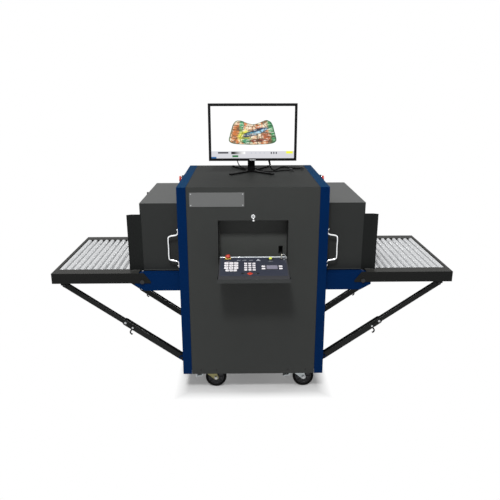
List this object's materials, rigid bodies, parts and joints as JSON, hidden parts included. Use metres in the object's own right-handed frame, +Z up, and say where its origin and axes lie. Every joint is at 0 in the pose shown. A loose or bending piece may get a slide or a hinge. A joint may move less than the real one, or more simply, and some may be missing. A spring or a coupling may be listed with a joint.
{
  "type": "baggage x-ray scanner",
  "caption": "Walk-up baggage x-ray scanner on casters with a through tunnel, conveyor, folding roller tables, fold-down operator's console and a tilting monitor.",
  "frame": {"origin": "on the floor under the middle of the cabinet", "axes": "+X along the conveyor to the operator's right, +Y from the operator towards the rear, +Z up"},
  "size_m": [2.268, 1.101, 1.658],
  "materials": {
    "frame_blue": "semi-gloss powder coat",
    "panel_grey": "fine-textured powder coat",
    "hood_grey": "fine-textured powder coat",
    "table_grey": "satin powder coat",
    "brace_black": "satin powder coat",
    "steel": "brushed",
    "zinc": "zinc plated",
    "roller_shell": "satin",
    "handle_metal": "polished",
    "belt_rubber": "matte",
    "curtain_rubber": "matte",
    "wheel_rubber": "matte",
    "cable_rubber": "satin",
    "keypad_plastic": "fine-textured",
    "stop_red": "moulded",
    "power_green": "translucent dome",
    "key_metal": "nickelled",
    "monitor_plastic": "fine-textured",
    "circuit_green": "solder mask"
  },
  "bodies": {
    "cabinet": {"chassis": "brace_black", "left_side_frame": "frame_blue", "right_side_frame": "frame_blue", "front_panel": "panel_grey", "rear_panel": "panel_grey", "top_panel": "panel_grey", "tunnel": "panel_grey", "left_tunnel_box": "hood_grey", "right_tunnel_box": "hood_grey", "curtains": "curtain_rubber", "conveyor_bed": "steel", "belt": "belt_rubber", "xray_generator": "zinc", "detector_array": "circuit_green", "computer": "steel", "grab_handles": "handle_metal", "monitor_stand": "monitor_plastic", "video_cable": "cable_rubber", "power_cable": "cable_rubber", "power_plug": "cable_rubber"},
    "console": {"console_tray": "panel_grey", "keypad": "keypad_plastic"},
    "console_stop": {"console_stop_button": "stop_red"},
    "power_switch": {"power_button": "power_green"},
    "key_switch": {"console_key": "key_metal"},
    "left_stop": {"left_stop_button": "stop_red"},
    "right_stop": {"right_stop_button": "stop_red"},
    "display": {"monitor": "monitor_plastic"},
    "drive_drum_shaft": {"drive_drum": "steel"},
    "tail_drum_shaft": {"tail_drum": "steel"},
    "left_table": {"left_table_frame": "table_grey"},
    "left_lower_links": {"left_lower_braces": "brace_black"},
    "left_upper_links": {"left_upper_braces": "brace_black"},
    "left_latches": {"left_brace_latches": "brace_black"},
    "left_roller_1_tube": {"left_roller_1": "roller_shell"},
    "left_roller_2_tube": {"left_roller_2": "roller_shell"},
    "left_roller_3_tube": {"left_roller_3": "roller_shell"},
    "left_roller_4_tube": {"left_roller_4": "roller_shell"},
    "left_roller_5_tube": {"left_roller_5": "roller_shell"},
    "left_roller_6_tube": {"left_roller_6": "roller_shell"},
    "right_table": {"right_table_frame": "table_grey"},
    "right_lower_links": {"right_lower_braces": "brace_black"},
    "right_upper_links": {"right_upper_braces": "brace_black"},
    "right_latches": {"right_brace_latches": "brace_black"},
    "right_roller_1_tube": {"right_roller_1": "roller_shell"},
    "right_roller_2_tube": {"right_roller_2": "roller_shell"},
    "right_roller_3_tube": {"right_roller_3": "roller_shell"},
    "right_roller_4_tube": {"right_roller_4": "roller_shell"},
    "right_roller_5_tube": {"right_roller_5": "roller_shell"},
    "right_roller_6_tube": {"right_roller_6": "roller_shell"},
    "front_left_caster": {"front_left_fork": "zinc"},
    "front_left_tread": {"front_left_wheel": "wheel_rubber"},
    "front_left_brake": {"front_left_brake_pedal": "zinc"},
    "front_right_caster": {"front_right_fork": "zinc"},
    "front_right_tread": {"front_right_wheel": "wheel_rubber"},
    "front_right_brake": {"front_right_brake_pedal": "zinc"},
    "rear_left_caster": {"rear_left_fork": "zinc"},
    "rear_left_tread": {"rear_left_wheel": "wheel_rubber"},
    "rear_right_caster": {"rear_right_fork": "zinc"},
    "rear_right_tread": {"rear_right_wheel": "wheel_rubber"}
  },
  "joints": [
    {"name": "console_fold", "type": "hinge", "parent": "cabinet", "child": "console", "pos_m": [0, -0.4165, 0.799], "axis": [-1, 0, 0], "range_deg": [0, 90]},
    {"name": "console_stop_press", "type": "slide", "parent": "console", "child": "console_stop", "axis": [0, 0.1696, -0.9855], "range_m": [0, 0.004], "stiffness_N_per_m": 1500, "springref_m": -0.002},
    {"name": "power_press", "type": "slide", "parent": "console", "child": "power_switch", "axis": [0, 0.1696, -0.9855], "range_m": [0, 0.003], "stiffness_N_per_m": 800, "springref_m": -0.002},
    {"name": "key_turn", "type": "hinge", "parent": "console", "child": "key_switch", "pos_m": [0.154, -0.4555, 0.85001], "axis": [0, -0.1696, 0.9855], "range_deg": [-90, 0]},
    {"name": "left_stop_press", "type": "slide", "parent": "cabinet", "child": "left_stop", "axis": [1, 0, 0], "range_m": [0, 0.004], "stiffness_N_per_m": 1500, "springref_m": -0.002},
    {"name": "right_stop_press", "type": "slide", "parent": "cabinet", "child": "right_stop", "axis": [-1, 0, 0], "range_m": [0, 0.004], "stiffness_N_per_m": 1500, "springref_m": -0.002},
    {"name": "monitor_tilt", "type": "hinge", "parent": "cabinet", "child": "display", "pos_m": [0, 0.124, 1.437], "axis": [-1, 0, 0], "range_deg": [-5, 15]},
    {"name": "drive_drum_spin", "type": "hinge", "parent": "cabinet", "child": "drive_drum_shaft", "pos_m": [0.582, 0, 0.715], "axis": [0, 1, 0], "continuous": true},
    {"name": "tail_drum_spin", "type": "hinge", "parent": "cabinet", "child": "tail_drum_shaft", "pos_m": [-0.582, 0, 0.715], "axis": [0, 1, 0], "continuous": true},
    {"name": "left_table_fold", "type": "hinge", "parent": "cabinet", "child": "left_table", "pos_m": [-0.625, 0, 0.699], "axis": [0, -1, 0], "range_deg": [0, 75]},
    {"name": "left_lower_link_swing", "type": "hinge", "parent": "cabinet", "child": "left_lower_links", "pos_m": [-0.431, 0, 0.178], "axis": [0, 1, 0], "range_deg": [0, 49.4]},
    {"name": "left_upper_link_swing", "type": "hinge", "parent": "left_table", "child": "left_upper_links", "pos_m": [-1.095, 0, 0.648], "axis": [0, -1, 0], "range_deg": [0, 16.8]},
    {"name": "left_latch_release", "type": "hinge", "parent": "left_lower_links", "child": "left_latches", "pos_m": [-0.71504, 0, 0.37905], "axis": [0, 1, 0], "range_deg": [0, 20], "stiffness_Nm_per_rad": 0.6, "springref_deg": -11.46},
    {"name": "left_roller_1_spin", "type": "hinge", "parent": "left_table", "child": "left_roller_1_tube", "pos_m": [-1.101, 0, 0.737], "axis": [0, 1, 0], "continuous": true},
    {"name": "left_roller_2_spin", "type": "hinge", "parent": "left_table", "child": "left_roller_2_tube", "pos_m": [-1.0626, 0, 0.737], "axis": [0, 1, 0], "continuous": true},
    {"name": "left_roller_3_spin", "type": "hinge", "parent": "left_table", "child": "left_roller_3_tube", "pos_m": [-1.0242, 0, 0.737], "axis": [0, 1, 0], "continuous": true},
    {"name": "left_roller_4_spin", "type": "hinge", "parent": "left_table", "child": "left_roller_4_tube", "pos_m": [-0.9858, 0, 0.737], "axis": [0, 1, 0], "continuous": true},
    {"name": "left_roller_5_spin", "type": "hinge", "parent": "left_table", "child": "left_roller_5_tube", "pos_m": [-0.9474, 0, 0.737], "axis": [0, 1, 0], "continuous": true},
    {"name": "left_roller_6_spin", "type": "hinge", "parent": "left_table", "child": "left_roller_6_tube", "pos_m": [-0.909, 0, 0.737], "axis": [0, 1, 0], "continuous": true},
    {"name": "right_table_fold", "type": "hinge", "parent": "cabinet", "child": "right_table", "pos_m": [0.625, 0, 0.699], "axis": [0, 1, 0], "range_deg": [0, 75]},
    {"name": "right_lower_link_swing", "type": "hinge", "parent": "cabinet", "child": "right_lower_links", "pos_m": [0.431, 0, 0.178], "axis": [0, -1, 0], "range_deg": [0, 49.4]},
    {"name": "right_upper_link_swing", "type": "hinge", "parent": "right_table", "child": "right_upper_links", "pos_m": [1.095, 0, 0.648], "axis": [0, 1, 0], "range_deg": [0, 16.8]},
    {"name": "right_latch_release", "type": "hinge", "parent": "right_lower_links", "child": "right_latches", "pos_m": [0.71504, 0, 0.37905], "axis": [0, -1, 0], "range_deg": [0, 20], "stiffness_Nm_per_rad": 0.6, "springref_deg": -11.46},
    {"name": "right_roller_1_spin", "type": "hinge", "parent": "right_table", "child": "right_roller_1_tube", "pos_m": [1.101, 0, 0.737], "axis": [0, 1, 0], "continuous": true},
    {"name": "right_roller_2_spin", "type": "hinge", "parent": "right_table", "child": "right_roller_2_tube", "pos_m": [1.0626, 0, 0.737], "axis": [0, 1, 0], "continuous": true},
    {"name": "right_roller_3_spin", "type": "hinge", "parent": "right_table", "child": "right_roller_3_tube", "pos_m": [1.0242, 0, 0.737], "axis": [0, 1, 0], "continuous": true},
    {"name": "right_roller_4_spin", "type": "hinge", "parent": "right_table", "child": "right_roller_4_tube", "pos_m": [0.9858, 0, 0.737], "axis": [0, 1, 0], "continuous": true},
    {"name": "right_roller_5_spin", "type": "hinge", "parent": "right_table", "child": "right_roller_5_tube", "pos_m": [0.9474, 0, 0.737], "axis": [0, 1, 0], "continuous": true},
    {"name": "right_roller_6_spin", "type": "hinge", "parent": "right_table", "child": "right_roller_6_tube", "pos_m": [0.909, 0, 0.737], "axis": [0, 1, 0], "continuous": true},
    {"name": "front_left_swivel", "type": "hinge", "parent": "cabinet", "child": "front_left_caster", "pos_m": [-0.265, -0.326, 0.15], "axis": [0, 0, 1], "continuous": true},
    {"name": "front_left_roll", "type": "hinge", "parent": "front_left_caster", "child": "front_left_tread", "pos_m": [-0.223, -0.326, 0.0635], "axis": [0, 1, 0], "continuous": true},
    {"name": "front_left_brake_press", "type": "hinge", "parent": "front_left_caster", "child": "front_left_brake", "pos_m": [-0.286, -0.326, 0.1055], "axis": [0, -1, 0], "range_deg": [0, 12], "stiffness_Nm_per_rad": 0.8, "springref_deg": -14.32},
    {"name": "front_right_swivel", "type": "hinge", "parent": "cabinet", "child": "front_right_caster", "pos_m": [0.265, -0.326, 0.15], "axis": [0, 0, 1], "continuous": true},
    {"name": "front_right_roll", "type": "hinge", "parent": "front_right_caster", "child": "front_right_tread", "pos_m": [0.307, -0.326, 0.0635], "axis": [0, 1, 0], "continuous": true},
    {"name": "front_right_brake_press", "type": "hinge", "parent": "front_right_caster", "child": "front_right_brake", "pos_m": [0.244, -0.326, 0.1055], "axis": [0, -1, 0], "range_deg": [0, 12], "stiffness_Nm_per_rad": 0.8, "springref_deg": -14.32},
    {"name": "rear_left_swivel", "type": "hinge", "parent": "cabinet", "child": "rear_left_caster", "pos_m": [-0.265, 0.326, 0.15], "axis": [0, 0, 1], "continuous": true},
    {"name": "rear_left_roll", "type": "hinge", "parent": "rear_left_caster", "child": "rear_left_tread", "pos_m": [-0.223, 0.326, 0.0635], "axis": [0, 1, 0], "continuous": true},
    {"name": "rear_right_swivel", "type": "hinge", "parent": "cabinet", "child": "rear_right_caster", "pos_m": [0.265, 0.326, 0.15], "axis": [0, 0, 1], "continuous": true},
    {"name": "rear_right_roll", "type": "hinge", "parent": "rear_right_caster", "child": "rear_right_tread", "pos_m": [0.307, 0.326, 0.0635], "axis": [0, 1, 0], "continuous": true}
  ],
  "couplings": [
    {"joint": "left_lower_link_swing", "follows": "left_table_fold", "ratio": 0.65762},
    {"joint": "left_upper_link_swing", "follows": "left_table_fold", "ratio": 0.22256},
    {"joint": "right_lower_link_swing", "follows": "right_table_fold", "ratio": 0.65762},
    {"joint": "right_upper_link_swing", "follows": "right_table_fold", "ratio": 0.22256}
  ]
}
